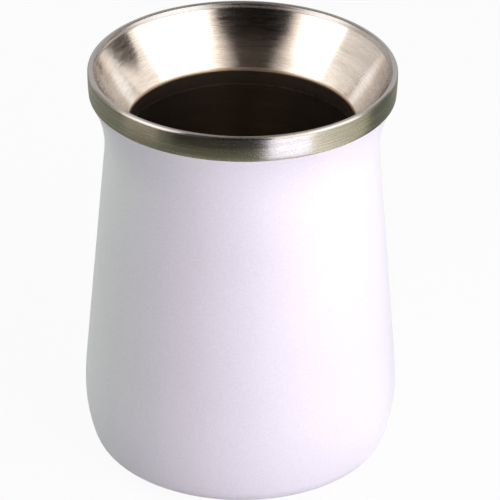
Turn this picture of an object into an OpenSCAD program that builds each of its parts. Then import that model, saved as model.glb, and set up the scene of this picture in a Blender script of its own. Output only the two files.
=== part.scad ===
// Double-wall steel mate cup: a bare rim and funnel over a coated body that holds a vacuum.
// Millimetres, +Z up. The origin lies on the table, under the cup's axis.
// Every wall is pressed sheet: one line of arcs and straights, drawn at two depths and revolved.

/* [Cup] */
// Height from the table to the top of the lip
cup_h = 110; // [95:0.5:125]
// Diameter over the lip
rim_d = 80.6; // [74:0.2:90]

/* [Rim ring] */
// Thickness of the rolled lip, over its round
lip_d = 2; // [1.8:0.1:3]
// How far the lip's sheet runs on down the cone, past its round
lip_lap = 1.1; // [0.6:0.1:1.5]
// Share of the lip's sheet that its end on the cone is rounded over
lap_edge_share = 0.8; // [0.2:0.1:0.9]
// Height of the bare band, from the lip's widest line to its lower edge
band_h = 6; // [5:0.1:8]
// Radius of the band's bulge
band_arc_r = 58; // [30:1:90]
// Sheet of the rim ring
rim_t = 0.5; // [0.4:0.05:0.6]

/* [Funnel] */
// Depth from the top of the lip to the throat
funnel_depth = 15.3; // [11:0.1:20]
// Radius of the cone's shallow dish, from lip to throat
cone_dish_r = 80; // [60:1:200]
// Radius of the bend at the throat, on the chamber side
throat_bend_r = 1.8; // [0.8:0.1:3]
// Height of the upright collar below the throat
collar_h = 4.2; // [2:0.1:8]
// Sheet of the funnel
funnel_t = 0.5; // [0.4:0.05:0.7]

/* [Body] */
// How far the neck is drawn in from the lip's widest line
neck_inset = 4.4; // [3:0.1:7]
// Lean of the body where it leaves the band's edge, in degrees
flare_lean = 31; // [22:1:45]
// Diameter of the belly
belly_d = 82.3; // [76:0.1:92]
// Height of the belly's widest line
belly_z = 18.2; // [14:0.1:30]
// Radius of the turn from the straight side to the belly
belly_arc_r = 94; // [50:1:140]
// Radius of the side below the belly
low_arc_r = 41.7; // [34:0.1:60]
// Radius of the corner that runs out into the foot
corner_r = 7.1; // [4:0.1:11]
// How far the body reaches up inside the band
shell_tuck = 4; // [2:0.1:5]
// Sheet of the body
shell_t = 0.6; // [0.4:0.05:0.8]

/* [Chamber] */
// Free space between body and liner at the neck
neck_gap = 5.3; // [3:0.1:8]
// Radius of the floor's shallow dish
floor_dish_r = 90; // [60:1:200]
// Radius from the floor up into the wall
floor_corner_r = 8; // [4:0.1:14]
// Straight edge of the floor pan above that radius
floor_skirt_h = 2.2; // [1:0.1:6]
// Free height between the middle bottom and the floor pan
floor_gap = 4; // [3.2:0.1:8]
// Sheet of the liner
liner_t = 0.5; // [0.4:0.05:0.7]
// Thickness of the foil sleeve
foil_t = 0.15; // [0.1:0.05:0.3]
// Bare liner left at each end of the sleeve
foil_margin = 2; // [1:0.5:8]

/* [Base] */
// Width of the ring that stands on the table
foot_ring_w = 5.2; // [3:0.1:8]
// Radius of the turn from that ring up into the flange
hem_r = 1; // [0.9:0.1:2]
// How far the cover is set back from the table
cover_recess = 0.8; // [0.3:0.1:1.5]
// Height of the cover's turned-up edge
cover_edge_h = 1.7; // [1.2:0.1:3]
// Width of the cover's flat margin
cover_margin = 7; // [5:0.5:10]
// How far the middle of the cover is pressed up
cover_step_h = 0.5; // [0.2:0.1:1]
// Radius of the bends in the cover
cover_bend_r = 1; // [0.8:0.1:1.2]
// Height of the middle bottom's turned-down edge
middle_edge_h = 3; // [2:0.1:6]
// Radius of the bends in the middle bottom
middle_bend_r = 0.8; // [0.6:0.1:1]
// Sheet of the cover and the middle bottom
base_t = 0.5; // [0.4:0.05:0.6]

/* [Vacuum seal] */
// Diameter of the dimple round the vent
dimple_d = 10; // [8:0.5:14]
// Depth of the dimple
dimple_h = 2.2; // [2:0.1:2.6]
// Diameter of the vent that the bead closes
vent_d = 2.4; // [1.5:0.1:3.5]
// Diameter of the bead
bead_d = 6.4; // [5:0.1:7]
// Height of the bead's dome
bead_h = 1.1; // [0.6:0.1:1.6]
// Diameter over the getter ring
getter_d = 9; // [7:0.5:12]
// Diameter of the getter ring's hole
getter_hole_d = 4.4; // [3:0.1:5]
// Height of the getter ring
getter_h = 1.6; // [1:0.1:2]
// Wall of the getter ring's channel
getter_wall = 0.4; // [0.3:0.05:0.6]
// Distance of the getter ring's axis in from the flange
getter_inset = 12; // [9:0.5:14]

/* [Fits] */
// Clearance between lapped or nested sheets
lap_gap = 0.05; // [0.02:0.01:0.1]

/* [Hidden] */

// How far a chord may leave its arc
chord_tol = 0.01;
// Facets of a full turn in previews
turn_facets = 144;

// Rim: the lip is a round, and the band runs on from its widest line
rim_r = rim_d / 2;
lip_r = lip_d / 2;
lip_c = [rim_r - lip_r, cup_h - lip_r];
band_c = [rim_r - band_arc_r, lip_c[1]];
band_lean = asin(band_h / band_arc_r);
band_low_r = band_c[0] + band_arc_r * cos(band_lean);

// Body: a flare that leaves the band at its own lean, a straight side, then arcs down to the foot
neck_r = rim_r - neck_inset;
flare_r = (band_low_r - neck_r) / (1 - cos(flare_lean));
flare_c = [neck_r + flare_r, lip_c[1] - band_h - flare_r * sin(flare_lean)];
belly_c = [belly_d / 2 - belly_arc_r, belly_z];
flare_from_belly = flare_c - belly_c;
side_lean = atan2(flare_from_belly[1], flare_from_belly[0])
            - acos((flare_r + belly_arc_r) / norm(flare_from_belly));
low_c = [belly_d / 2 - low_arc_r, belly_z];
low_lean = asin((belly_z - corner_r) / (low_arc_r - corner_r));
foot_r = low_c[0] + (low_arc_r - corner_r) * cos(low_lean);
corner_c = [foot_r, corner_r];
flange_r = foot_r - foot_ring_w;

// Joggle: the body steps in behind the band, and its two inner arcs run on until they meet
tuck_r = band_arc_r - rim_t - lap_gap;
flare_from_band = flare_c - band_c;
joggle_a = atan2(flare_from_band[1], flare_from_band[0]);
joggle_tuck_end = joggle_a + meeting(tuck_r - shell_t, flare_r + shell_t, norm(flare_from_band));
joggle_flare_start = joggle_a + 180 - meeting(flare_r + shell_t, tuck_r - shell_t, norm(flare_from_band));

// Funnel: a dished cone from under the lip to the throat, whose collar lines up with the liner
throat_r = neck_r - shell_t - neck_gap - liner_t;
throat_z = cup_h - funnel_depth;
cone_to_lip = cone_dish_r + lip_r - rim_t - lap_gap;
throat_from_lip = [throat_r, throat_z] - lip_c;
cone_lean = meeting(cone_to_lip, cone_dish_r, norm(throat_from_lip))
            - atan2(throat_from_lip[1], throat_from_lip[0]) - 180;
cone_up = [sin(cone_lean), cos(cone_lean)];
cone_out = [cos(cone_lean), -sin(cone_lean)];
cone_c = lip_c - cone_to_lip * cone_out;
lap_edge_r = lap_edge_share * rim_t;
lap_edge_c = lip_c - (lip_r - lap_edge_r) * cone_out - (lip_lap - lap_edge_r) * cone_up;
lap_end = lip_c - (lip_r - rim_t) * cone_out - lip_lap * cone_up;
throat_bend_a = -acos((throat_r + throat_bend_r - cone_c[0]) / (cone_dish_r + throat_bend_r));
throat_bend_c = cone_c + (cone_dish_r + throat_bend_r) * [cos(throat_bend_a), sin(throat_bend_a)];
collar_z = throat_z - collar_h;

// Base: the cover, then the middle bottom, then the floor pan, from the table up
cover_r = flange_r - lap_gap;
cover_edge_z = cover_recess + cover_edge_h;
cover_step_lean = acos(1 - cover_step_h / (2 * cover_bend_r));
cover_step_r = cover_r - cover_bend_r - cover_margin;
middle_edge_z = cover_edge_z + lap_gap;
middle_under_z = middle_edge_z + middle_edge_h;
middle_top_z = middle_under_z + base_t;
dimple_r = dimple_d / 2;
dimple_z = middle_under_z + dimple_h;
floor_z = middle_top_z + floor_gap + liner_t;

// Floor pan: a dish that turns up into the liner wall
dish_c = [0, floor_z + floor_dish_r];
floor_corner_in = throat_r - floor_corner_r;
dish_sweep = asin(floor_corner_in / (floor_dish_r - floor_corner_r));
floor_corner_c = dish_c + (floor_dish_r - floor_corner_r) * [sin(dish_sweep), -cos(dish_sweep)];
floor_edge_z = floor_corner_c[1] + floor_skirt_h;

// Angle that a length takes up on an arc
function sweep_of(length, r) = length / r * 180 / PI;

// Angle from the line of two centres to where an arc about one meets an arc about the other
function meeting(r, other_r, apart) = acos((r * r + apart * apart - other_r * other_r) / (2 * r * apart));

// Points along an arc, from one angle to another
function arc(centre, r, from, to) =
    let (steps = max(3, ceil(abs(to - from) / (2 * acos(1 - chord_tol / r)))))
    [for (i = [0:steps]) let (a = from + (to - from) * i / steps) centre + r * [cos(a), sin(a)]];

// The same points, last one first
function backwards(points) = [for (i = [len(points) - 1:-1:0]) points[i]];

// Rim ring at a depth under its outer surface, from its end on the cone over the lip to the band's edge
function rim_line(depth, cone_end) = concat(
    cone_end,
    arc(lip_c, lip_r - depth, 180 - cone_lean, 90),
    arc(lip_c, lip_r - depth, 90, 0),
    arc(band_c, band_arc_r - depth, 0, sweep_of(lap_gap, band_arc_r) - band_lean));

// Funnel at a depth behind its chamber side, from the edge inside the lip to the collar's end
function funnel_line(depth) = concat(
    arc(cone_c, cone_dish_r + depth, -cone_lean, throat_bend_a),
    arc(throat_bend_c, throat_bend_r - depth, 180 + throat_bend_a, 180),
    [[throat_r + depth, collar_z]]);

// Body at a depth under its outer surface, from inside the band over the joggle to the base's flange
function shell_line(depth, tuck_end, flare_start) = concat(
    arc(band_c, tuck_r - depth, sweep_of(shell_tuck, tuck_r) - band_lean, tuck_end),
    arc(flare_c, flare_r + depth, flare_start, 180 + side_lean),
    arc(belly_c, belly_arc_r - depth, side_lean, 0),
    arc(low_c, low_arc_r - depth, 0, -low_lean),
    arc(corner_c, corner_r - depth, -low_lean, -90),
    arc([flange_r + hem_r, hem_r], hem_r - depth, -90, -180),
    [[flange_r + depth, middle_top_z]]);

// Floor pan at a depth below its chamber side, from the axis out and up to its edge
function floor_line(depth) = concat(
    arc(dish_c, floor_dish_r + depth, -90, dish_sweep - 90),
    arc(floor_corner_c, floor_corner_r + depth, dish_sweep - 90, 0),
    [[throat_r + depth, floor_edge_z]]);

// Middle bottom at a height over its underside, from the vent out and down to its edge
function middle_line(height) =
    let (edge_r = flange_r - lap_gap - base_t)
    concat(
        [[vent_d / 2, dimple_z + height]],
        arc([dimple_r - middle_bend_r, dimple_z - middle_bend_r], middle_bend_r + height, 90, 0),
        arc([dimple_r + middle_bend_r, middle_under_z + middle_bend_r], middle_bend_r - height, 180, 270),
        arc([edge_r - middle_bend_r, middle_under_z - middle_bend_r], middle_bend_r + height, 90, 0),
        [[edge_r + height, middle_edge_z]]);

// Cover at a height over its underside, from the axis out and up to its edge
function cover_line(height) = concat(
    [[0, cover_recess + cover_step_h + height]],
    arc([cover_step_r, cover_recess + cover_step_h - cover_bend_r], cover_bend_r + height,
        90, 90 - cover_step_lean),
    arc([cover_step_r + 2 * cover_bend_r * sin(cover_step_lean), cover_recess + cover_bend_r],
        cover_bend_r - height, 270 - cover_step_lean, 270),
    arc([cover_r - cover_bend_r, cover_recess + cover_bend_r], cover_bend_r - height, -90, 0),
    [[cover_r - height, cover_edge_z]]);

// A sheet between two lines that run the same way, turned about the cup's axis
module turned_sheet(face, back) {
    rotate_extrude($fn = turn_facets)
        polygon(concat(face, backwards(back)));
}

// A plain tube about the cup's axis
module turned_tube(r, t, from, to) {
    rotate_extrude($fn = turn_facets)
        translate([r, from])
            square([t, to - from]);
}

// Rolled lip and bare band; the lip takes in the funnel's edge and laps onto its cone
module rim_ring() {
    color("#b4aea6")
        turned_sheet(rim_line(0, arc(lap_edge_c, lap_edge_r, 270 - cone_lean, 180 - cone_lean)),
                     rim_line(rim_t, [lap_end]));
}

// Dished cone from the lip to the throat, with its collar
module funnel() {
    color("#c4bcb0")
        turned_sheet(funnel_line(0), funnel_line(funnel_t));
}

// Coated body, tucked under the band and turned in at the foot
module outer_shell() {
    color("#ece9f0")
        turned_sheet(shell_line(0, -band_lean, 180 - flare_lean),
                     shell_line(shell_t, joggle_tuck_end, joggle_flare_start));
}

// Chamber wall, end to end with the collar and the floor pan
module liner_wall() {
    color("#4a423c")
        turned_tube(throat_r, liner_t, floor_edge_z, collar_z);
}

// Dished floor pan of the chamber
module liner_bottom() {
    color("#4a423c")
        turned_sheet(floor_line(0), floor_line(liner_t));
}

// Foil sleeve round the liner, in the vacuum
module heat_shield() {
    color("#c9ccd0")
        turned_tube(throat_r + liner_t + lap_gap, foil_t, floor_edge_z + foil_margin, collar_z - foil_margin);
}

// Plate that closes the vacuum, with the vent in its dimple
module middle_bottom() {
    color("#a8a49e")
        turned_sheet(middle_line(0), middle_line(base_t));
}

// Bead under the vent, with a plug that fills it
module seal_bead() {
    plug_r = vent_d / 2 - lap_gap;
    bead_r = bead_d / 2;
    dome_r = (bead_r * bead_r + bead_h * bead_h) / (2 * bead_h);
    dome_c = [0, dimple_z - bead_h + dome_r];
    color("#5f5a4c")
        rotate_extrude($fn = turn_facets)
            polygon(concat(
                arc(dome_c, dome_r, -90, asin(bead_r / dome_r) - 90),
                [[plug_r, dimple_z], [plug_r, dimple_z + base_t], [0, dimple_z + base_t]]));
}

// Ring channel with pressed powder, on the vacuum side of the middle bottom
module getter() {
    color("#8d8983")
        translate([flange_r - getter_inset, 0, middle_top_z])
            difference() {
                cylinder(d = getter_d, h = getter_h, $fn = turn_facets);
                translate([0, 0, -getter_wall])
                    cylinder(d = getter_hole_d, h = getter_h + 2 * getter_wall, $fn = turn_facets);
                translate([0, 0, getter_h - getter_wall])
                    difference() {
                        cylinder(d = getter_d - 2 * getter_wall, h = getter_h, $fn = turn_facets);
                        cylinder(d = getter_hole_d + 2 * getter_wall, h = getter_h, $fn = turn_facets);
                    }
            }
}

// Bare disc that hides the seal, set back inside the foot ring
module base_cover() {
    color("#b8b4ae")
        turned_sheet(cover_line(0), cover_line(base_t));
}

rim_ring();
funnel();
outer_shell();
liner_wall();
liner_bottom();
heat_shield();
middle_bottom();
seal_bead();
getter();
base_cover();
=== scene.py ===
"""Looks of a double-wall steel mate cup: a brushed rim and funnel over a white coated body.

Every wall of the cup is pressed sheet: one line of arcs and straights, drawn at two depths and
turned about the cup's axis by one Geometry Nodes tree. Sizes of the cup are in millimetres,
distances in the studio in metres and angles in degrees. Meshes are in metres, in the frame of
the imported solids.
"""

import logging
import math
from dataclasses import dataclass, field
from enum import Enum
from typing import Any, Protocol

import bpy
from bpy.types import ID, Material, Node, NodeSocket, NodeTree, Object
from mathutils import Matrix, Vector


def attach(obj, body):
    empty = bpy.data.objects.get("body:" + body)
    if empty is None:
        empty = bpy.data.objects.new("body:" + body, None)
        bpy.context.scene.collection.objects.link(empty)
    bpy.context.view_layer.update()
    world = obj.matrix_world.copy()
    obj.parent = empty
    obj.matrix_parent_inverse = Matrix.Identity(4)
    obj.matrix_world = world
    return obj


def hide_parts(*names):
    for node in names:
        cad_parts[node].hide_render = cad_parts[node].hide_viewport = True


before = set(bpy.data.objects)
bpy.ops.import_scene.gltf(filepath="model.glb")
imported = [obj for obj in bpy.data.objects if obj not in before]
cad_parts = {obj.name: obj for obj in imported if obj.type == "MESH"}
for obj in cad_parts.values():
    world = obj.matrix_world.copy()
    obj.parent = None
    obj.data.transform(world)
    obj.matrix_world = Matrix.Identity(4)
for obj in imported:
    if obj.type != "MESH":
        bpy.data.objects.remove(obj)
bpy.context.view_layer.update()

LOG = logging.getLogger("mate_cup")
BODY = "root"
MM = 0.001
WHITE = "#ffffff"
TOUCHING = 1e-4  # Points of a section, or a point and the axis, count as one within this.

Line = list[Vector]


class Lay(Enum):
    """Direction across the brush lines of a turned sheet, as a lean from upright."""

    UPRIGHT = 0.0
    CONE = 33.4
    FLAT = 90.0


def linear(code: str) -> tuple[float, float, float, float]:
    """Turns an sRGB hex colour into linear light.

    Args:
        code: Colour such as "#dccbb8".

    Returns:
        Red, green, blue and an alpha of 1.
    """
    parts = [int(code[i:i + 2], 16) / 255 for i in (1, 3, 5)]
    red, green, blue = (c / 12.92 if c <= 0.04045 else ((c + 0.055) / 1.055) ** 2.4 for c in parts)
    return red, green, blue, 1.0


def add(tree: NodeTree, kind: str, inputs: dict[str | int, Any] | None = None,
        **settings: Any) -> Node:
    """Adds a node with its settings and links.

    Args:
        tree: Tree that takes the node.
        kind: Blender's name for the kind of node.
        inputs: Socket name or number, with a value or the output that feeds it.
        settings: Properties of the node.

    Returns:
        The new node.
    """
    node = tree.nodes.new(kind)
    for name, value in settings.items():
        setattr(node, name, value)
    for key, value in (inputs or {}).items():
        if isinstance(value, NodeSocket):
            tree.links.new(value, node.inputs[key])
        else:
            node.inputs[key].default_value = value
    return node


def fresh_material(name: str) -> tuple[Material, NodeTree]:
    """Makes an empty node material.

    Args:
        name: Name of the material.

    Returns:
        The material and its tree.
    """
    made = bpy.data.materials.new(name)
    made.use_nodes = True
    made.node_tree.nodes.clear()
    return made, made.node_tree


def brush_lines(tree: NodeTree, lay: Lay, girth_r: float, pitch: float,
                length: float) -> NodeSocket:
    """Draws lines that run round the cup's axis.

    Args:
        tree: Material tree.
        lay: Direction across the lines.
        girth_r: Radius at which a line has its length.
        pitch: Width of a line.
        length: Length of a line.

    Returns:
        A factor from 0 to 1.
    """
    octaves, octave_share = 2.0, 0.6
    place = add(tree, "ShaderNodeTexCoord").outputs["Object"]
    flat = add(tree, "ShaderNodeVectorMath", {0: place, 1: (1, 1, 0)},
               operation="MULTIPLY").outputs[0]
    bearing = add(tree, "ShaderNodeVectorMath", {0: flat}, operation="NORMALIZE").outputs[0]
    radius = add(tree, "ShaderNodeVectorMath", {0: flat}, operation="LENGTH").outputs["Value"]
    height = add(tree, "ShaderNodeSeparateXYZ", {0: place}).outputs["Z"]
    lean = math.radians(lay.value)
    outwards = add(tree, "ShaderNodeMath", {0: radius, 1: math.sin(lean) / (pitch * MM)},
                   operation="MULTIPLY").outputs[0]
    across = add(tree, "ShaderNodeMath", {0: height, 1: math.cos(lean) / (pitch * MM), 2: outwards},
                 operation="MULTIPLY_ADD").outputs[0]
    lift = add(tree, "ShaderNodeCombineXYZ", {"Z": across}).outputs[0]
    turn = girth_r / length
    spot = add(tree, "ShaderNodeVectorMath", {0: bearing, 1: (turn, turn, 0), 2: lift},
               operation="MULTIPLY_ADD").outputs[0]
    return add(tree, "ShaderNodeTexNoise", {
        "Vector": spot, "Scale": 1.0, "Detail": octaves, "Roughness": octave_share}).outputs["Fac"]


class Finish(Protocol):
    """A surface that can be made into a material."""

    name: str

    def material(self) -> Material:
        """Makes the material."""


@dataclass(frozen=True)
class BrushedSteel:
    """18/8 stainless sheet, spun and then brushed or polished round the axis.

    The brush leaves fine lines along the turn, so a reflection stays crisp round the cup and is
    drawn out up and down the wall. Its grit breaks the lines up, and slow clouds show where it
    pressed harder. Real lines and grit are about 0.05 mm wide; they are drawn several times
    coarser, so that they show.
    """

    name: str
    shade: str
    light: str
    roughness: float
    roughness_swing: float
    anisotropy: float
    lay: Lay
    girth_r: float
    line_pitch: float = 0.28
    line_length: float = 14.0
    line_depth: float = 0.004
    cloud_pitch: float = 2.6
    cloud_length: float = 45.0
    cloud_share: float = 0.25
    grit: float = 0.26
    grit_share: float = 0.4
    tone_span: tuple[float, float] = (0.35, 0.65)

    def material(self) -> Material:
        """Makes the material.

        Returns:
            Metal whose tone, gloss and height follow the brush lines.
        """
        along_lines, grit_octaves = 0.25, 1.0
        made, tree = fresh_material(self.name)
        lines = brush_lines(tree, self.lay, self.girth_r, self.line_pitch, self.line_length)
        clouds = brush_lines(tree, self.lay, self.girth_r, self.cloud_pitch, self.cloud_length)
        place = add(tree, "ShaderNodeTexCoord").outputs["Object"]
        grit = add(tree, "ShaderNodeTexNoise", {
            "Vector": place, "Scale": 1 / (self.grit * MM), "Detail": grit_octaves}).outputs["Fac"]
        strokes = add(tree, "ShaderNodeMix", {0: self.grit_share, 2: lines, 3: grit}).outputs[0]
        mixed = add(tree, "ShaderNodeMix", {0: self.cloud_share, 2: strokes, 3: clouds}).outputs[0]
        tone = add(tree, "ShaderNodeMapRange", {
            "Value": mixed, "From Min": self.tone_span[0], "From Max": self.tone_span[1]}).outputs[0]
        colour = add(tree, "ShaderNodeMix", {0: tone, 6: linear(self.shade), 7: linear(self.light)},
                     data_type="RGBA").outputs[2]
        rough = add(tree, "ShaderNodeMapRange", {
            "Value": tone, "To Min": self.roughness - self.roughness_swing,
            "To Max": self.roughness + self.roughness_swing}).outputs[0]
        bump = add(tree, "ShaderNodeBump", {
            "Height": strokes, "Distance": self.line_depth * MM}).outputs[0]
        shader = add(tree, "ShaderNodeBsdfPrincipled", {
            "Base Color": colour, "Metallic": 1.0, "Roughness": rough, "Normal": bump,
            "Anisotropic": self.anisotropy, "Anisotropic Rotation": along_lines})
        add(tree, "ShaderNodeOutputMaterial", {"Surface": shader.outputs[0]})
        return made


@dataclass(frozen=True)
class PowderCoat:
    """Polyester powder, sprayed on and baked to a satin white skin.

    The eye gets a soft, even tone with a fine speckle and a faint orange peel, and a scuffed ring
    where the cup stands. The grain of the powder is about 0.05 mm, drawn nine times coarser so
    that it shows.
    """

    name: str
    base: str
    shade: str
    scuff: str
    ior: float = 1.5
    roughness: float = 0.58
    roughness_swing: float = 0.04
    grain: float = 0.45
    grain_depth: float = 0.0022
    grain_share: float = 0.75
    gloss_span: tuple[float, float] = (0.3, 0.7)
    peel: float = 2.2
    peel_depth: float = 0.004
    cloud: float = 28.0
    scuff_height: float = 0.22
    scuff_share: float = 0.75

    def material(self) -> Material:
        """Makes the material.

        Returns:
            Coat with its grain, peel and scuffed foot.
        """
        octaves = 2.0
        made, tree = fresh_material(self.name)
        place = add(tree, "ShaderNodeTexCoord").outputs["Object"]
        grain, peel, cloud = (
            add(tree, "ShaderNodeTexNoise", {
                "Vector": place, "Scale": 1 / (size * MM), "Detail": octaves}).outputs["Fac"]
            for size in (self.grain, self.peel, self.cloud))
        fleck = add(tree, "ShaderNodeMix", {0: self.grain_share, 2: cloud, 3: grain}).outputs[0]
        colour = add(tree, "ShaderNodeMix", {0: fleck, 6: linear(self.shade), 7: linear(self.base)},
                     data_type="RGBA").outputs[2]
        height = add(tree, "ShaderNodeSeparateXYZ", {0: place}).outputs["Z"]
        low = add(tree, "ShaderNodeMapRange", {
            "Value": height, "From Min": 0.0, "From Max": self.scuff_height * MM,
            "To Min": self.scuff_share, "To Max": 0.0}).outputs[0]
        worn = add(tree, "ShaderNodeMath", {0: low, 1: peel}, operation="MULTIPLY").outputs[0]
        skin = add(tree, "ShaderNodeMix", {0: worn, 6: colour, 7: linear(self.scuff)},
                   data_type="RGBA").outputs[2]
        rough = add(tree, "ShaderNodeMapRange", {
            "Value": grain, "From Min": self.gloss_span[0], "From Max": self.gloss_span[1],
            "To Min": self.roughness - self.roughness_swing,
            "To Max": self.roughness + self.roughness_swing}).outputs[0]
        wave = add(tree, "ShaderNodeBump", {
            "Height": peel, "Distance": self.peel_depth * MM}).outputs[0]
        bump = add(tree, "ShaderNodeBump", {
            "Height": grain, "Distance": self.grain_depth * MM, "Normal": wave}).outputs[0]
        shader = add(tree, "ShaderNodeBsdfPrincipled", {
            "Base Color": skin, "Roughness": rough, "IOR": self.ior, "Normal": bump})
        add(tree, "ShaderNodeOutputMaterial", {"Surface": shader.outputs[0]})
        return made


@dataclass(frozen=True)
class GrainyFinish:
    """Plain skin with a grain: rolled foil, mill sheet, frit glass or pressed powder.

    The eye gets a mottled tone and a broken gloss at the size of the grain.
    """

    name: str
    base: str
    shade: str
    metallic: float
    roughness: float
    grain: float
    grain_depth: float
    gloss_swing: float = 0.2

    def material(self) -> Material:
        """Makes the material.

        Returns:
            Skin whose tone, gloss and height follow its grain.
        """
        octaves = 3.0
        made, tree = fresh_material(self.name)
        place = add(tree, "ShaderNodeTexCoord").outputs["Object"]
        grain = add(tree, "ShaderNodeTexNoise", {
            "Vector": place, "Scale": 1 / (self.grain * MM), "Detail": octaves}).outputs["Fac"]
        colour = add(tree, "ShaderNodeMix", {0: grain, 6: linear(self.shade), 7: linear(self.base)},
                     data_type="RGBA").outputs[2]
        rough = add(tree, "ShaderNodeMapRange", {
            "Value": grain, "To Min": self.roughness * (1 - self.gloss_swing),
            "To Max": self.roughness * (1 + self.gloss_swing)}).outputs[0]
        bump = add(tree, "ShaderNodeBump", {
            "Height": grain, "Distance": self.grain_depth * MM}).outputs[0]
        shader = add(tree, "ShaderNodeBsdfPrincipled", {
            "Base Color": colour, "Metallic": self.metallic, "Roughness": rough, "Normal": bump})
        add(tree, "ShaderNodeOutputMaterial", {"Surface": shader.outputs[0]})
        return made


def placed(name: str, data: ID) -> Object:
    """Makes an object at the origin and links it to the scene.

    Args:
        name: Name of the object.
        data: Its mesh, lamp or camera.

    Returns:
        The new object.
    """
    made = bpy.data.objects.new(name, data)
    bpy.context.scene.collection.objects.link(made)
    return made


def heading(azimuth: float, elevation: float) -> tuple[float, float, float]:
    """Finds a direction from the cup out into the studio.

    Args:
        azimuth: Turn from straight in front, plus to the right.
        elevation: Rise over level.

    Returns:
        Unit step in that direction.
    """
    turn, rise = math.radians(azimuth), math.radians(elevation)
    return math.cos(rise) * math.sin(turn), -math.cos(rise) * math.cos(turn), math.sin(rise)


def at(radius: float, height: float) -> Vector:
    """Point of a section, at a radius and a height."""
    return Vector((radius, height))


def towards(angle: float) -> Vector:
    """Unit step in a section, at an angle from straight out."""
    return Vector((math.cos(math.radians(angle)), math.sin(math.radians(angle))))


def sweep_of(length: float, radius: float) -> float:
    """Angle that a length takes up on an arc."""
    return math.degrees(length / radius)


def arc(centre: Vector, radius: float, start: float, end: float) -> Line:
    """Draws an arc in a section.

    Args:
        centre: Centre of the arc.
        radius: Radius of the arc.
        start: Angle of the first point.
        end: Angle of the last point.

    Returns:
        Points close enough together to look round.
    """
    chord_tol, widest_step, fewest_steps = 0.003, 6.0, 3
    step = min(widest_step, 2 * math.degrees(math.acos(1 - chord_tol / radius)))
    steps = max(fewest_steps, math.ceil(abs(end - start) / step))
    return [centre + radius * towards(start + (end - start) * i / steps) for i in range(steps + 1)]


def cleaned(line: Line) -> Line:
    """Drops points that repeat the one before them.

    Args:
        line: Points of a section.

    Returns:
        The points that differ.
    """
    kept = line[:1]
    for point in line[1:]:
        if (point - kept[-1]).length > TOUCHING:
            kept.append(point)
    return kept


def softened(line: Line, radius: float, closed: bool) -> Line:
    """Rounds the corners of a section, as deburred sheet has them.

    Args:
        line: Points of the section.
        radius: Radius of the round.
        closed: Whether the last point leads back to the first.

    Returns:
        The section with a few points in place of each corner.
    """
    least_turn, share, steps = math.radians(40), 0.45, 4
    made: Line = []
    for i, point in enumerate(line):
        ends = not closed and i in (0, len(line) - 1)
        before, after = line[i - 1] - point, line[(i + 1) % len(line)] - point
        turn = 0.0 if ends else math.pi - before.angle(after)
        if turn < least_turn:
            made.append(point)
            continue
        reach = min(radius * math.tan(turn / 2), share * min(before.length, after.length))
        first, last = point + reach * before.normalized(), point + reach * after.normalized()
        made += [(1 - t) ** 2 * first + 2 * t * (1 - t) * point + t * t * last
                 for t in (k / steps for k in range(steps + 1))]
    return made


def filled(line: Line, longest: float, closed: bool) -> Line:
    """Splits long straights, so that smooth shading stays true along them.

    Args:
        line: Points of the section.
        longest: Longest step to leave.
        closed: Whether the last point leads back to the first.

    Returns:
        The section with points added along its straights.
    """
    made: Line = []
    for i, point in enumerate(line):
        last = i == len(line) - 1
        made.append(point)
        if last and not closed:
            break
        step = line[(i + 1) % len(line)] - point
        parts = math.ceil(step.length / longest)
        made += [point + step * k / parts for k in range(1, parts)]
    return made


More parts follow.
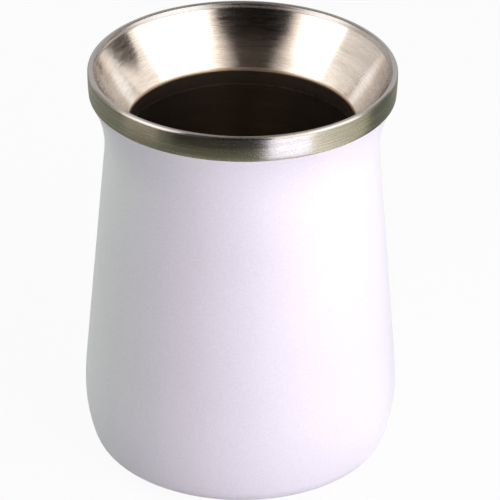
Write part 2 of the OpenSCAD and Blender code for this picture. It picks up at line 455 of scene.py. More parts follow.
def turned_tree() -> NodeTree:
    """Builds the tree that turns a section about the axis.

    Returns:
        A Geometry Nodes tree with the section, its closing, the steps of the turn, the crease
        angle and the finish as inputs.
    """
    seam_gap = 1e-6
    whole = "FunctionNodeIntegerMath"
    tree = bpy.data.node_groups.new("turned_sheet", "GeometryNodeTree")
    sockets = (("Geometry", "Geometry"), ("Section", "Object"), ("Closed", "Int"),
               ("Turn steps", "Int"), ("Crease angle", "Float"), ("Finish", "Material"))
    for name, kind in sockets:
        tree.interface.new_socket(name, in_out="INPUT", socket_type=f"NodeSocket{kind}")
    tree.interface.new_socket("Geometry", in_out="OUTPUT", socket_type="NodeSocketGeometry")
    given = add(tree, "NodeGroupInput").outputs
    section = add(tree, "GeometryNodeObjectInfo", {"Object": given["Section"]}).outputs["Geometry"]
    count = add(tree, "GeometryNodeAttributeDomainSize", {"Geometry": section}).outputs["Point Count"]
    stations = add(tree, whole, {0: count, 1: given["Closed"]}, operation="ADD").outputs[0]
    turns = add(tree, whole, {0: given["Turn steps"], 1: 1}, operation="ADD").outputs[0]
    grid = add(tree, "GeometryNodeMeshGrid", {
        "Vertices X": stations, "Vertices Y": turns}).outputs["Mesh"]
    index = add(tree, "GeometryNodeInputIndex").outputs[0]
    row = add(tree, whole, {0: index, 1: turns}, operation="DIVIDE_FLOOR").outputs[0]
    station = add(tree, whole, {0: row, 1: count}, operation="MODULO").outputs[0]
    turn = add(tree, whole, {0: index, 1: turns}, operation="MODULO").outputs[0]
    share = add(tree, "ShaderNodeMath", {0: turn, 1: given["Turn steps"]},
                operation="DIVIDE").outputs[0]
    angle = add(tree, "ShaderNodeMath", {0: share, 1: math.tau}, operation="MULTIPLY").outputs[0]
    here = add(tree, "GeometryNodeInputPosition").outputs[0]
    point = add(tree, "GeometryNodeSampleIndex", {"Geometry": section, "Value": here, "Index": station},
                data_type="FLOAT_VECTOR").outputs[0]
    spot = add(tree, "ShaderNodeVectorRotate", {"Vector": point, "Angle": angle},
               rotation_type="Z_AXIS").outputs[0]
    wall = add(tree, "GeometryNodeSetPosition", {"Geometry": grid, "Position": spot}).outputs[0]
    joined = add(tree, "GeometryNodeMergeByDistance", {
        "Geometry": wall, "Distance": seam_gap}).outputs[0]
    smooth = add(tree, "GeometryNodeSetShadeSmooth", {"Geometry": joined}, domain="FACE").outputs[0]
    fold = add(tree, "GeometryNodeInputMeshEdgeAngle").outputs["Unsigned Angle"]
    soft = add(tree, "FunctionNodeCompare", {0: fold, 1: given["Crease angle"]},
               operation="LESS_THAN").outputs[0]
    creased = add(tree, "GeometryNodeSetShadeSmooth", {"Geometry": smooth, "Shade Smooth": soft},
                  domain="EDGE").outputs[0]
    real = add(tree, "GeometryNodeRealizeInstances", {"Geometry": creased}).outputs[0]
    dressed = add(tree, "GeometryNodeSetMaterial", {
        "Geometry": real, "Material": given["Finish"]}).outputs[0]
    add(tree, "NodeGroupOutput", {"Geometry": dressed})
    return tree


@dataclass
class Lathe:
    """Turns the sections of the cup's sheets into meshes."""

    turn_steps: int = 256
    corner_r: float = 0.12
    longest: float = 1.6
    crease: float = 32.0
    tree: NodeTree = field(default_factory=turned_tree)

    def turned(self, name: str, section: Line, finish: Finish, flush: bool = False) -> Object:
        """Turns a section about the axis.

        Args:
            name: Name of the piece.
            section: Points round the section, or from axis to axis.
            finish: Surface of the piece.
            flush: Whether its edges stay sharp, where a weld is ground level.

        Returns:
            A plain mesh object at the origin.
        """
        closed = min(p.x for p in section) > TOUCHING
        line = cleaned(section) if flush else softened(cleaned(section), self.corner_r, closed)
        line = filled(line, self.longest, closed)
        ring = line + line[:1]
        area = sum(a.x * b.y - b.x * a.y for a, b in zip(ring, ring[1:]))
        if area > 0:  # Faces point outwards where the section runs clockwise.
            line.reverse()
        outline = bpy.data.meshes.new("section")
        outline.from_pydata([(p.x * MM, 0.0, p.y * MM) for p in line], [], [])
        pattern = placed("section", outline)
        holder = placed("turning", bpy.data.meshes.new("turning"))
        turning = holder.modifiers.new("turned_sheet", "NODES")
        turning.node_group = self.tree
        coat = finish.material()
        values = {"Section": pattern, "Closed": int(closed), "Turn steps": self.turn_steps,
                  "Crease angle": math.radians(self.crease), "Finish": coat}
        for item in self.tree.interface.items_tree:
            if item.in_out == "INPUT" and item.name in values:
                turning[item.identifier] = values[item.name]
        bpy.context.view_layer.update()
        seen = holder.evaluated_get(bpy.context.evaluated_depsgraph_get())
        mesh = bpy.data.meshes.new_from_object(seen)
        mesh.name = name
        mesh.materials.clear()
        mesh.materials.append(coat)
        mesh.polygons.foreach_set("material_index", [0] * len(mesh.polygons))
        for used in (holder, pattern):
            bpy.data.objects.remove(used)
        return placed(name, mesh)


def settle(piece: Object, node: str) -> None:
    """Puts a piece on the cup in place of a solid.

    Args:
        piece: The finished piece.
        node: Solid that it stands for.
    """
    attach(piece, BODY)
    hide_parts(node)
    LOG.info("%s: %d faces in place of %s", piece.name, len(piece.data.polygons), node)


def dress(node: str, finish: Finish) -> None:
    """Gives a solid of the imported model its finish.

    Args:
        node: Solid that stays in view.
        finish: Surface of the solid.
    """
    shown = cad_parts[node].data
    shown.materials.clear()
    shown.materials.append(finish.material())
    LOG.info("%s: packed solid with %s", node, finish.name)


@dataclass
class RimRing:
    """Lip, rolled and then pressed closer, with its lap on the cone and the bare band below it."""

    cup_h: float = 110.0
    rim_d: float = 80.6
    lip_d: float = 2.0
    lip_press: float = 0.2
    pressed_sheet: float = 0.25
    lip_lap: float = 1.1
    lap_lift: float = 0.06
    lap_lift_from: float = 0.35
    lap_lift_to: float = 0.95
    band_h: float = 6.0
    band_arc_r: float = 58.0
    sheet: float = 0.5
    lap_gap: float = 0.05
    # Brushed round the band: reflections break into long thin streaks.
    finish: BrushedSteel = BrushedSteel(
        "brushed_steel_band", "#a29a90", "#c6beb4", roughness=0.24, roughness_swing=0.05,
        anisotropy=0.35, lay=Lay.UPRIGHT, girth_r=40.0)
    # Polished by the rolling, its steel painted darker than the band's as painted shade that dims the
    # lip: a soft light runs evenly along the round.
    painted_shade_lip_finish: BrushedSteel = BrushedSteel(
        "polished_steel_lip_painted_shade", "#928d8a", "#aaa5a2", roughness=0.28, roughness_swing=0.04,
        anisotropy=0.2, lay=Lay.FLAT, girth_r=40.0, line_depth=0.001)

    def __post_init__(self) -> None:
        """Works out the centres and angles that the other sheets share."""
        self.lip_r = self.lip_d / 2
        self.lip_c = at(self.rim_d / 2 - self.lip_r, self.cup_h - self.lip_r)
        self.round_r = self.lip_r - self.lip_press
        self.round_c = at(self.rim_d / 2 - self.round_r, self.cup_h - self.round_r)
        self.band_c = at(self.rim_d / 2 - self.band_arc_r, self.lip_c.y)
        self.band_lean = math.degrees(math.asin(self.band_h / self.band_arc_r))
        self.band_low = self.band_c + self.band_arc_r * towards(-self.band_lean)

    def line(self, depth: float, lean: float) -> Line:
        """Draws the ring at a depth under its outer surface.

        Args:
            depth: Depth under the outer surface.
            lean: Lean of the cone that the lip laps onto.

        Returns:
            Points from the lap on the cone over the lip to the band's edge.
        """
        round_r = self.round_r - min(depth, self.pressed_sheet)
        return (self.lap(round_r, lean) + arc(self.round_c, round_r, 180 - lean, 90)
                + arc(self.round_c, round_r, 90, 0)
                + arc(self.band_c, self.band_arc_r - depth, 0,
                      sweep_of(self.lap_gap, self.band_arc_r) - self.band_lean))

    def lap(self, round_r: float, lean: float) -> Line:
        """Draws the lap down the cone, whose edge springs up a little from the rolling.

        Args:
            round_r: Radius of the lip's round at this depth of the sheet.
            lean: Lean of the cone.

        Returns:
            Points from the edge of the lap up to the lip's round.
        """
        steps, made = 10, []
        for i in range(steps + 1):
            share = i / steps
            down = self.lap_lift_to + (self.lap_lift_from - self.lap_lift_to) * share
            lift = self.lap_lift * (1 + math.cos(math.pi * share)) / 2
            made.append(self.round_c - (round_r + lift) * towards(-lean) - down * towards(90 - lean))
        edge_r = round_r + self.lap_lift
        end = self.round_c - edge_r * towards(-lean) - self.lip_lap * towards(90 - lean)
        return [end] + made

    def build(self, lathe: Lathe, funnel: "Funnel") -> None:
        """Turns the ring and puts it on the cup.

        Args:
            lathe: Maker of turned sheets.
            funnel: Cone that the lip laps onto.
        """
        section = self.line(0, funnel.lean) + self.line(self.sheet, funnel.lean)[::-1]
        piece = lathe.turned("rim_ring_brushed", section, self.finish)
        # Painted shade: the lip takes the darker copy of the band's steel.
        piece.data.materials.append(self.painted_shade_lip_finish.material())
        crown_r, middle_z = self.round_c * MM
        for face in piece.data.polygons:
            middle = face.center
            face.material_index = int(middle.z > middle_z or middle.xy.length < crown_r)
        settle(piece, "rim_ring")


class FunnelZone(Enum):
    """Part of the funnel with a finish of its own, by its place among the materials."""

    CONE = 0
    BEND = 1
    COLLAR = 2


@dataclass
class Funnel:
    """Dished cone from the lip to the throat, with a bend into its upright collar.

    The bend's finish, browner and darker than the cone as painted shade, runs between two heights
    over the bend's centre, and again along the collar's edge, a lighter ring against the collar.
    """

    rim: RimRing
    depth: float = 15.3
    throat_r: float = 29.5
    dish_r: float = 80.0
    bend_r: float = 1.8
    collar_h: float = 4.2
    collar_edge: float = 0.4
    bend_low: float = 0.3
    bend_high: float = 1.08
    sheet: float = 0.5
    # Brushed with a short stroke: a clear mirror, broken by small crossing marks.
    finish: BrushedSteel = BrushedSteel(
        "brushed_steel_funnel", "#a69f9a", "#cac3bd", roughness=0.15, roughness_swing=0.05,
        anisotropy=0.4, lay=Lay.CONE, girth_r=35.0, line_pitch=0.2, line_length=4.0)
    # Left satin by the bending tool, and tinted brown and darker than the cone as painted shade: a
    # blurred line round the throat.
    painted_shade_bend_finish: BrushedSteel = BrushedSteel(
        "satin_steel_bend_painted_shade", "#a8937f", "#b8a491", roughness=0.36, roughness_swing=0.04,
        anisotropy=0.3, lay=Lay.UPRIGHT, girth_r=29.4, line_depth=0.001)
    # Drawn smooth, its steel painted darker than the cone's as painted shade in the throat: an even
    # dark ring below the bend.
    painted_shade_collar_finish: BrushedSteel = BrushedSteel(
        "satin_steel_collar_painted_shade", "#958980", "#998d84", roughness=0.3, roughness_swing=0.01,
        anisotropy=0.3, lay=Lay.UPRIGHT, girth_r=29.4, line_depth=0.001)

    def __post_init__(self) -> None:
        """Works out the dish's lean at the lip, its centre and where it turns into the throat."""
        self.throat_z = self.rim.cup_h - self.depth
        to_lip = self.dish_r + self.rim.lip_r - self.rim.sheet - self.rim.lap_gap
        throat = at(self.throat_r, self.throat_z) - self.rim.lip_c
        apart = throat.length
        turn = math.acos((to_lip ** 2 + apart ** 2 - self.dish_r ** 2) / (2 * to_lip * apart))
        self.lean = math.degrees(turn - math.atan2(throat.y, throat.x)) - 180
        self.dish_c = self.rim.lip_c - to_lip * towards(-self.lean)
        bend_x = self.throat_r + self.bend_r - self.dish_c.x
        self.bend_a = -math.degrees(math.acos(bend_x / (self.dish_r + self.bend_r)))
        self.bend_c = self.dish_c + (self.dish_r + self.bend_r) * towards(self.bend_a)
        self.collar_z = self.throat_z - self.collar_h

    def line(self, depth: float) -> Line:
        """Draws the funnel at a depth behind its chamber side.

        Args:
            depth: Depth behind the chamber side.

        Returns:
            Points from the edge inside the lip to the collar's end.
        """
        return (arc(self.dish_c, self.dish_r + depth, -self.lean, self.bend_a)
                + arc(self.bend_c, self.bend_r - depth, 180 + self.bend_a, 180)
                + [at(self.throat_r + depth, self.collar_z)])

    def build(self, lathe: Lathe) -> None:
        """Turns the funnel and puts it on the cup.

        Args:
            lathe: Maker of turned sheets.
        """
        section = self.line(0) + self.line(self.sheet)[::-1]
        piece = lathe.turned("funnel_brushed", section, self.finish)
        piece.data.materials.append(self.painted_shade_bend_finish.material())
        piece.data.materials.append(self.painted_shade_collar_finish.material())
        # Painted shade: the bend and the collar take darker copies of the cone's steel.
        low, high = self.bend_c.y + self.bend_low, self.bend_c.y + self.bend_high
        for face in piece.data.polygons:
            height, zone = face.center.z / MM, FunnelZone.CONE
            if low < height < high or height < self.collar_z + self.collar_edge:
                zone = FunnelZone.BEND
            elif height < low:
                zone = FunnelZone.COLLAR
            face.material_index = zone.value
        settle(piece, "funnel")


@dataclass
class OuterShell:
    """Coated body, tucked under the band and turned in at the foot."""

    rim: RimRing
    neck_inset: float = 4.4
    flare_lean: float = 31.0
    belly_d: float = 82.3
    belly_z: float = 18.2
    belly_arc_r: float = 94.0
    low_arc_r: float = 41.7
    corner_r: float = 7.1
    tuck: float = 4.0
    sheet: float = 0.6
    foot_ring_w: float = 5.2
    hem_r: float = 1.0
    flange_top: float = 6.05
    # Sprayed and baked: white shading that stays soft, with a fine speckle.
    finish: PowderCoat = PowderCoat("powder_coat_white", "#fefbff", "#dfdce2", "#a9a5a6")

    def __post_init__(self) -> None:
        """Works out the arcs that run into each other down the side."""
        rim = self.rim
        neck_r = rim.rim_d / 2 - self.neck_inset
        lean = math.radians(self.flare_lean)
        self.flare_r = (rim.band_low.x - neck_r) / (1 - math.cos(lean))
        self.flare_c = at(neck_r + self.flare_r, rim.band_low.y - self.flare_r * math.sin(lean))
        self.belly_c = at(self.belly_d / 2 - self.belly_arc_r, self.belly_z)
        apart = self.flare_c - self.belly_c
        self.side_lean = math.degrees(math.atan2(apart.y, apart.x)
                                      - math.acos((self.flare_r + self.belly_arc_r) / apart.length))
        self.low_c = at(self.belly_d / 2 - self.low_arc_r, self.belly_z)
        inner = self.low_arc_r - self.corner_r
        self.low_lean = math.degrees(math.asin((self.belly_z - self.corner_r) / inner))
        self.corner_c = self.low_c + inner * towards(-self.low_lean)
        self.flange_r = self.corner_c.x - self.foot_ring_w
        self.tuck_r = rim.band_arc_r - rim.sheet - rim.lap_gap

    def joggle(self) -> tuple[float, float]:
        """Finds where the inner arcs meet, behind the step under the band.

        Returns:
            Angle at which the tuck ends and angle at which the flare starts.
        """
        apart = self.flare_c - self.rim.band_c
        tuck_r, flare_r, d = self.tuck_r - self.sheet, self.flare_r + self.sheet, apart.length
        way = math.degrees(math.atan2(apart.y, apart.x))
        at_tuck = math.degrees(math.acos((tuck_r ** 2 + d * d - flare_r ** 2) / (2 * tuck_r * d)))
        at_flare = math.degrees(math.acos((flare_r ** 2 + d * d - tuck_r ** 2) / (2 * flare_r * d)))
        return way + at_tuck, way + 180 - at_flare

    def line(self, depth: float, tuck_end: float, flare_start: float) -> Line:
        """Draws the body at a depth under its outer surface.

        Args:
            depth: Depth under the outer surface.
            tuck_end: Angle at which the part behind the band ends.
            flare_start: Angle at which the flare starts.

        Returns:
            Points from inside the band down to the flange at the base.
        """
        return (arc(self.rim.band_c, self.tuck_r - depth,
                    sweep_of(self.tuck, self.tuck_r) - self.rim.band_lean, tuck_end)
                + arc(self.flare_c, self.flare_r + depth, flare_start, 180 + self.side_lean)
                + arc(self.belly_c, self.belly_arc_r - depth, self.side_lean, 0)
                + arc(self.low_c, self.low_arc_r - depth, 0, -self.low_lean)
                + arc(self.corner_c, self.corner_r - depth, -self.low_lean, -90)
                + arc(at(self.flange_r + self.hem_r, self.hem_r), self.hem_r - depth, -90, -180)
                + [at(self.flange_r + depth, self.flange_top)])

    def build(self, lathe: Lathe) -> None:
        """Turns the body and puts it on the cup.

        Args:
            lathe: Maker of turned sheets.
        """
        face = self.line(0, -self.rim.band_lean, 180 - self.flare_lean)
        section = face + self.line(self.sheet, *self.joggle())[::-1]
        piece = lathe.turned("outer_shell_coated", section, self.finish)
        settle(piece, "outer_shell")


@dataclass
class Chamber:
    """Liner wall with its seam at the collar, and the dished floor pan."""

    funnel: Funnel
    floor_z: float = 10.55
    dish_r: float = 90.0
    floor_corner_r: float = 8.0
    skirt_h: float = 2.2
    sheet: float = 0.5
    seam_w: float = 1.0
    seam_h: float = 0.035
    # Drawn and left satin, its steel painted darker than the funnel's as painted shade deep in the
    # chamber: dim, soft bands of light up the dark wall.
    finish: BrushedSteel = BrushedSteel(
        "satin_steel_liner_painted_shade", "#998d81", "#a99d90", roughness=0.25, roughness_swing=0.02,
        anisotropy=0.3, lay=Lay.UPRIGHT, girth_r=29.4, line_depth=0.001)

    def __post_init__(self) -> None:
        """Works out where the floor's dish runs into the wall."""
        self.dish_c = at(0.0, self.floor_z + self.dish_r)
        inner = self.dish_r - self.floor_corner_r
        self.sweep = math.degrees(math.asin((self.funnel.throat_r - self.floor_corner_r) / inner))
        self.corner_c = self.dish_c + inner * towards(self.sweep - 90)
        self.edge_z = self.corner_c.y + self.skirt_h

    def wall_section(self) -> Line:
        """Draws the wall, with the low bead of its weld to the collar.

        Returns:
            Points round the section.
        """
        steps, r, top = 8, self.funnel.throat_r, self.funnel.collar_z
        bead = [at(r - self.seam_h * math.sin(math.pi * i / steps), top - self.seam_w * (1 - i / steps))
                for i in range(steps - 1)]
        back_r = r + self.sheet
        return [at(back_r, top), at(back_r, self.edge_z), at(r, self.edge_z)] + bead + [at(r, top)]

    def floor_line(self, depth: float) -> Line:
        """Draws the floor pan at a depth below its chamber side.

        Args:
            depth: Depth below the chamber side.

        Returns:
            Points from the axis out and up to the pan's edge.
        """
        return (arc(self.dish_c, self.dish_r + depth, -90, self.sweep - 90)
                + arc(self.corner_c, self.floor_corner_r + depth, self.sweep - 90, 0)
                + [at(self.funnel.throat_r + depth, self.edge_z)])

    def build(self, lathe: Lathe) -> None:
        """Turns the wall and the floor pan and puts them in the cup.

        Args:
            lathe: Maker of turned sheets.
        """
        pan = self.floor_line(0) + self.floor_line(self.sheet)[::-1]
        for node, section in (("liner_wall", self.wall_section()), ("liner_bottom", pan)):
            piece = lathe.turned(f"{node}_satin", section, self.finish, flush=True)
            settle(piece, node)


@dataclass
class Base:
    """Bare cover under the foot, and the sealed pieces that it hides."""

    shell: OuterShell
    recess: float = 0.8
    edge_h: float = 1.7
    margin: float = 7.0
    step_h: float = 0.5
    bend_r: float = 1.0
    sheet: float = 0.5
    # Spun on the lathe: a fan of light that turns round the middle.
    finish: BrushedSteel = BrushedSteel(
        "spun_steel_cover", "#a9a49c", "#c4bfb6", roughness=0.38, roughness_swing=0.05,
        anisotropy=0.7, lay=Lay.FLAT, girth_r=18.0)
    # Foil shines in creases, mill sheet and pressed alloy are dull, and glass has a wet gloss.
    sealed: tuple[tuple[str, GrainyFinish], ...] = (
        ("heat_shield", GrainyFinish("rolled_aluminium_foil", "#d9dbde", "#bfc2c6", metallic=1.0,
                                     roughness=0.22, grain=3.0, grain_depth=0.02)),
        ("middle_bottom", GrainyFinish("mill_steel_sheet", "#b9b5ae", "#a09c95", metallic=1.0,
                                       roughness=0.4, grain=0.6, grain_depth=0.002)),
        ("seal_bead", GrainyFinish("frit_glass_bead", "#6a6453", "#4f4a3d", metallic=0.0,
                                   roughness=0.18, grain=0.8, grain_depth=0.01)),
        ("getter", GrainyFinish("pressed_getter_alloy", "#8f8b85", "#6d6964", metallic=1.0,
                                roughness=0.6, grain=0.4, grain_depth=0.02)))

    def line(self, height: float) -> Line:
        """Draws the cover at a height over its underside.

        Args:
            height: Height over the underside.

        Returns:
            Points from the axis out and up to the cover's edge.
        """
        outer_r = self.shell.flange_r - self.shell.rim.lap_gap
        step_lean = math.degrees(math.acos(1 - self.step_h / (2 * self.bend_r)))
        step_r = outer_r - self.bend_r - self.margin
        low_r = step_r + 2 * self.bend_r * math.sin(math.radians(step_lean))
        mid, step_z = self.recess + self.bend_r, self.recess + self.step_h
        return ([at(0.0, step_z + height)]
                + arc(at(step_r, step_z - self.bend_r), self.bend_r + height, 90, 90 - step_lean)
                + arc(at(low_r, mid), self.bend_r - height, 270 - step_lean, 270)
                + arc(at(outer_r - self.bend_r, mid), self.bend_r - height, -90, 0)
                + [at(outer_r - height, self.recess + self.edge_h)])

    def build(self, lathe: Lathe) -> None:
        """Turns the cover, puts it under the cup and dresses the sealed solids.

        Args:
            lathe: Maker of turned sheets.
        """
        section = self.line(0) + self.line(self.sheet)[::-1]
        settle(lathe.turned("base_cover_spun", section, self.finish), "base_cover")
        for node, finish in self.sealed:
            dress(node, finish)


class Graded(Enum):
    """Way in which the tone of a card runs: upwards, or round from one side edge to the other."""

    RISE = "rise"
    TURN = "turn"


class Reach(Enum):
    """Distance of a card from the rim's middle. A nearer card hides those behind it."""

    RIM = 0.05
    INNER = 0.48
    MIDDLE = 0.5
    OUTER = 0.53
    FAR = 0.56


@dataclass(frozen=True)
class Card:
    """Curved studio card round the cup, which lies on the floor where it would go below it.

    Azimuth runs from straight in front, plus to the right. Elevation is seen from the rim. The
    tone is graded from the first colour to the last. Slant turns the upper ends of the first and
    last side edges on by that many degrees, and ease bends the grading.
    """

    name: str
    first: str
    last: str
    strength: float
    azimuth: tuple[float, float]
    elevation: tuple[float, float]
    graded: Graded = Graded.RISE
    slant: tuple[float, float] = (0.0, 0.0)
    ease: float = 1.0
    reach: Reach = Reach.MIDDLE
    eye_height: float = 0.1

    def build(self) -> None:
        """Makes the card, seen in reflections only."""
        columns, rows, above_floor = 16, 40, 0.001
        reach, (low, high) = self.reach.value, self.elevation
        points, faces = [], []
        for i in range(rows + 1):
            rise = low + (high - low) * i / rows
            drop = -math.sin(math.radians(rise))
            away = min(reach, (self.eye_height - above_floor) / drop) if drop > 0 else reach
            start, end = (edge + lean * i / rows for edge, lean in zip(self.azimuth, self.slant))
            for k in range(columns + 1):
                x, y, z = heading(start + (end - start) * k / columns, rise)
                points.append((away * x, away * y, self.eye_height + away * z))
        for i in range(rows):
            for k in range(columns):
                first = i * (columns + 1) + k
                faces.append((first, first + 1, first + columns + 2, first + columns + 1))
        mesh = bpy.data.meshes.new(self.name)
        mesh.from_pydata(points, [], faces)
        made, tree = fresh_material(self.name)
        upwards = self.graded is Graded.RISE
        shares = mesh.attributes.new("grade", "FLOAT", "POINT")
        shares.data.foreach_set("value", [(i / rows if upwards else k / columns) ** self.ease
                                          for i in range(rows + 1) for k in range(columns + 1)])
        grade = add(tree, "ShaderNodeAttribute", attribute_name="grade").outputs["Fac"]
        colour = add(tree, "ShaderNodeMix", {0: grade, 6: linear(self.first), 7: linear(self.last)},
                     data_type="RGBA").outputs[2]
        glow = add(tree, "ShaderNodeEmission", {"Color": colour, "Strength": self.strength})
        add(tree, "ShaderNodeOutputMaterial", {"Surface": glow.outputs[0]})
        mesh.materials.append(made)
        card = placed(self.name, mesh)
        for ray in ("camera", "diffuse", "transmission", "volume_scatter", "shadow"):
            setattr(card, f"visible_{ray}", False)


@dataclass(frozen=True)
class Lamp:
    """Soft box that faces the cup. Metal shows the cards instead of it."""

    name: str
    colour: str
    watts: float
    azimuth: float
    elevation: float
    distance: float
    width: float
    height: float
    aim_height: float = 0.06

    def build(self) -> None:
        """Makes the lamp."""
        light = bpy.data.lights.new(self.name, "AREA")
        light.shape, light.size, light.size_y = "RECTANGLE", self.width, self.height
        light.energy, light.color = self.watts, linear(self.colour)[:3]
        away = Vector(heading(self.azimuth, self.elevation))
        lamp = placed(self.name, light)
        lamp.location = Vector((0, 0, self.aim_height)) + self.distance * away
        lamp.rotation_euler = away.to_track_quat("Z", "Y").to_euler()
        lamp.visible_glossy = False


@dataclass(frozen=True)
class Viewpoint:
    """Camera above and in front of the cup, at a long focal length."""

    distance: float = 1.56
    elevation: float = 28.2468
    pivot_height: float = 0.055
    aim_x: float = 0.002286
    aim_height: float = 0.0562873
    roll: float = 0.485
    focal_px: float = 5917.7603
    image_px: int = 500
    sensor_mm: float = 36.0

    def build(self) -> None:
        """Makes the camera and gives it to the scene."""
        x, y, z = heading(0.0, self.elevation)
        eye = Vector((self.distance * x, self.distance * y, self.pivot_height + self.distance * z))
        ahead = (Vector((self.aim_x, 0, self.aim_height)) - eye).normalized()
        right = ahead.cross(Vector((0, 0, 1))).normalized()
        up = right.cross(ahead)
        c, s = math.cos(math.radians(self.roll)), math.sin(math.radians(self.roll))
        axes = Matrix((c * right + s * up, c * up - s * right, -ahead)).transposed().to_4x4()
        lens = bpy.data.cameras.new("camera")
        lens.sensor_width, lens.sensor_fit = self.sensor_mm, "HORIZONTAL"
        lens.lens = self.focal_px * self.sensor_mm / self.image_px
        camera = placed("camera", lens)
        camera.matrix_world = Matrix.Translation(eye) @ axes
        bpy.context.scene.camera = camera


def background_share(tree: NodeTree) -> NodeSocket:
    """Tells the rays that see the background from those that only gather light.

    Args:
        tree: Material or world tree.

    Returns:
        1 for camera, glossy and transmission rays, 0 for the rest.
    """
    path = add(tree, "ShaderNodeLightPath").outputs
    mirror = add(tree, "ShaderNodeMath", {0: path["Is Glossy Ray"], 1: path["Is Transmission Ray"]},
                 operation="MAXIMUM").outputs[0]
    return add(tree, "ShaderNodeMath", {0: path["Is Camera Ray"], 1: mirror},
               operation="MAXIMUM").outputs[0]


@dataclass
class Studio:
    """Pale floor, soft boxes, cards and camera."""

    floor_half: float = 6.0
    floor_colour: str = "#f8f8f8"
    floor_bounce: str = "#e3e3e7"
    floor_white: float = 0.92
    ambient_colour: str = "#f1f5f1"
    ambient: float = 0.303
    viewpoint: Viewpoint = Viewpoint()
    # Watts, azimuth, elevation, and then distance, width and height
    lamps: tuple[Lamp, ...] = (
        Lamp("key_soft_box", "#f9eafe", 4.58, 40.0, 18.5, 0.8, 0.6, 0.38),
        Lamp("side_soft_box", "#eafff0", 1.7, 92.0, 25.0, 0.7, 0.9, 0.6),
        Lamp("back_soft_box", "#f3fff0", 1.78, -122.0, 18.0, 0.7, 0.4, 0.5))
    cards: tuple[Card, ...] = (
        # Dark in front, seen by the back of the cone, with its soft edge at the right
        Card("dark_front_card", "#040302", "#040302", 1, (-58, 46), (-25, 37), reach=Reach.FAR),
        Card("front_upper_card", "#040302", "#5e544b", 1, (-58, 46), (37, 50), reach=Reach.FAR),
        Card("front_high_card", "#5e544b", "#241f1c", 1, (-70, 60), (50, 81), reach=Reach.FAR),
        Card("right_penumbra_low", "#0c0a08", "#fff4e8", 3.1, (21, 32.6), (20, 38), Graded.TURN),
        Card("right_penumbra", "#0c0a08", "#fff4e8", 3.1, (18, 31), (38, 54), Graded.TURN, (-20, 15)),
        # White boards at both sides, seen by the bright fields of the cone, and the left soft edge
        Card("right_white_board", "#fff8f2", "#fff8f2", 3.1, (30, 95), (-8, 31), reach=Reach.OUTER),
        Card("right_white_upper", "#f4fcff", "#f4fcff", 4.1, (30, 95), (31, 46), reach=Reach.OUTER),
        Card("right_white_top", "#fff8f2", "#fff8f2", 2.7, (30, 95), (46, 64), reach=Reach.OUTER),
        Card("left_penumbra_low", "#0c0a08", "#fff4e8", 3.1, (-40, -53), (20, 38), Graded.TURN),
        Card("left_penumbra", "#0c0a08", "#fff4e8", 3.1, (-37, -52), (38, 54), Graded.TURN, (13, -36)),
        Card("left_white_board", "#fff8f2", "#fff8f2", 3.1, (-90, -51), (-8, 31), reach=Reach.OUTER),
        Card("left_white_upper", "#f4fcff", "#f4fcff", 4.1, (-90, -51), (31, 46), reach=Reach.OUTER),
        Card("left_white_top", "#fff8f2", "#fff8f2", 2.6, (-90, -51), (46, 64), reach=Reach.OUTER),
        # Overhead and behind, seen by the top of the lip
        Card("zenith_card", "#7c7268", "#7c7268", 1, (-180, 180), (79, 90)),
        Card("back_high_card", "#5c544c", "#5c544c", 1, (164, 196), (48, 80)),
        Card("lip_flag_right", "#dcd5cd", "#857b72", 1, (140, 180), (35, 88), Graded.TURN,
             reach=Reach.RIM),
        Card("lip_flag_left", "#857b72", "#dcd5cd", 1, (180, 220), (35, 88), Graded.TURN,
             reach=Reach.RIM),
        # Close round the front of the rim, seen by the outer side of the lip alone
        Card("lip_shade_left", "#a09b8e", "#fff0dc", 1.6, (-86, -58), (8, 25), Graded.TURN, ease=4,
             reach=Reach.RIM),
        Card("lip_shade_front", "#1c1815", "#1c1815", 1, (-28, 9), (8, 32), reach=Reach.RIM),
        Card("lip_light_right", "#fff6ea", "#fff6ea", 2.7, (13, 30), (8, 21), reach=Reach.RIM),
        Card("lip_shade_right", "#74786a", "#fff6ea", 1.6, (86, 57), (8, 25), Graded.TURN, ease=4,
             reach=Reach.RIM),
        # Mats and boards on the floor, seen by the band
        Card("front_mat", "#a9ad96", "#0c0a08", 1, (-49, 14), (-33, -24.5)),
        Card("near_front_mat", "#a9ad96", "#a9ad96", 1, (-49, 60), (-88, -33)),
        Card("left_mat", "#989f92", "#767e70", 1, (-168, -49), (-85, -15), Graded.TURN),
        Card("left_warm_mat", "#e0d4be", "#e0d4be", 1, (-90, -60), (-25.5, -8), reach=Reach.INNER),
        Card("white_bounce_low", "#8e91a0", "#e5e9ff", 4.6, (18.5, 48), (-33, -24)),
        Card("white_bounce_board", "#e5e9ff", "#e5e9ff", 4.6, (18.5, 48), (-24, -8)),
        Card("right_mat", "#fffff0", "#a2a791", 1.4, (48, 101), (-46, -8), Graded.TURN),
        Card("right_dark_mat", "#697164", "#949c8e", 1, (101, 165), (-85, -15), Graded.TURN),
        Card("back_mat", "#b0b4a6", "#b0b4a6", 1, (165, 192), (-60, -20)),
        # Low boards at the back, seen by the ends of the cone and the throat
        Card("back_low_board", "#a8a199", "#d8d2cc", 1, (136, 224), (-25, 4)),
        Card("left_back_low_board", "#7a736e", "#d2cac4", 1.6, (-129, -90), (-15, 2), ease=2),
        Card("left_back_board", "#d2cac4", "#fffaf2", 1.6, (-129, -90), (2, 26)),
        Card("left_back_top", "#fffaf2", "#fffaf2", 2, (-129, -90), (26, 64)),
        Card("right_dark_strip", "#584f48", "#584f48", 1, (101, 138), (0, 20), slant=(0, -29),
             reach=Reach.INNER),
        Card("right_dark_low", "#584f48", "#584f48", 1, (101, 130), (-22, 0), reach=Reach.INNER),
        Card("right_back_low_board", "#4a443e", "#fff8ee", 1.9, (95, 130), (-15, 6), ease=2.5),
        Card("right_back_board", "#fff8ee", "#fff8ee", 1.9, (95, 130), (6, 64)))

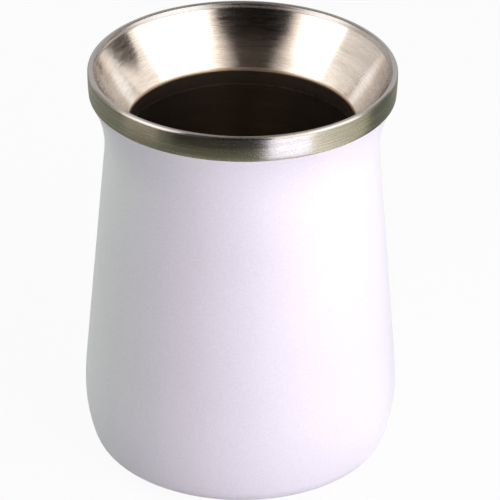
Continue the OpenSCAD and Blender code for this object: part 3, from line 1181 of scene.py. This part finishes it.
    def floor(self) -> None:
        """Makes the floor, white to the eye and in reflections, with the cup's shadow kept."""
        h, below = self.floor_half, -0.0001
        mesh = bpy.data.meshes.new("floor")
        corners = [(-h, -h, below), (h, -h, below), (h, h, below), (-h, h, below)]
        mesh.from_pydata(corners, [], [(0, 1, 2, 3)])
        made, tree = fresh_material("pale_studio_floor")
        seen = background_share(tree)
        colour = add(tree, "ShaderNodeMix", {
            0: seen, 6: linear(self.floor_bounce), 7: linear(self.floor_colour)},
            data_type="RGBA").outputs[2]
        matt = add(tree, "ShaderNodeBsdfDiffuse", {"Color": colour})
        white = add(tree, "ShaderNodeEmission", {"Color": linear(WHITE), "Strength": 1.0})
        share = add(tree, "ShaderNodeMath", {0: seen, 1: self.floor_white},
                    operation="MULTIPLY").outputs[0]
        mixed = add(tree, "ShaderNodeMixShader", {0: share, 1: matt.outputs[0], 2: white.outputs[0]})
        add(tree, "ShaderNodeOutputMaterial", {"Surface": mixed.outputs[0]})
        mesh.materials.append(made)
        floor = placed("floor", mesh)

    def world(self) -> None:
        """Makes the surroundings, white to the eye and in reflections, dimmer as light."""
        world = bpy.data.worlds.new("studio")
        world.use_nodes = True
        tree = world.node_tree
        tree.nodes.clear()
        fill = add(tree, "ShaderNodeBackground", {
            "Color": linear(self.ambient_colour), "Strength": self.ambient})
        white = add(tree, "ShaderNodeBackground", {"Color": linear(WHITE), "Strength": 1.0})
        mixed = add(tree, "ShaderNodeMixShader", {
            0: background_share(tree), 1: fill.outputs[0], 2: white.outputs[0]})
        add(tree, "ShaderNodeOutputWorld", {"Surface": mixed.outputs[0]})
        bpy.context.scene.world = world

    def build(self) -> None:
        """Sets up everything round the cup."""
        bpy.context.scene.view_settings.view_transform = "Standard"
        self.floor()
        self.world()
        for thing in (*self.cards, *self.lamps, self.viewpoint):
            thing.build()


def main() -> None:
    """Builds the cup and its studio."""
    logging.basicConfig(level=logging.INFO, format="%(name)s: %(message)s")
    lathe = Lathe()
    rim = RimRing()
    funnel = Funnel(rim)
    shell = OuterShell(rim)
    rim.build(lathe, funnel)
    funnel.build(lathe)
    shell.build(lathe)
    Chamber(funnel).build(lathe)
    Base(shell).build(lathe)
    Studio().build()


if __name__ == "__main__":
    main()
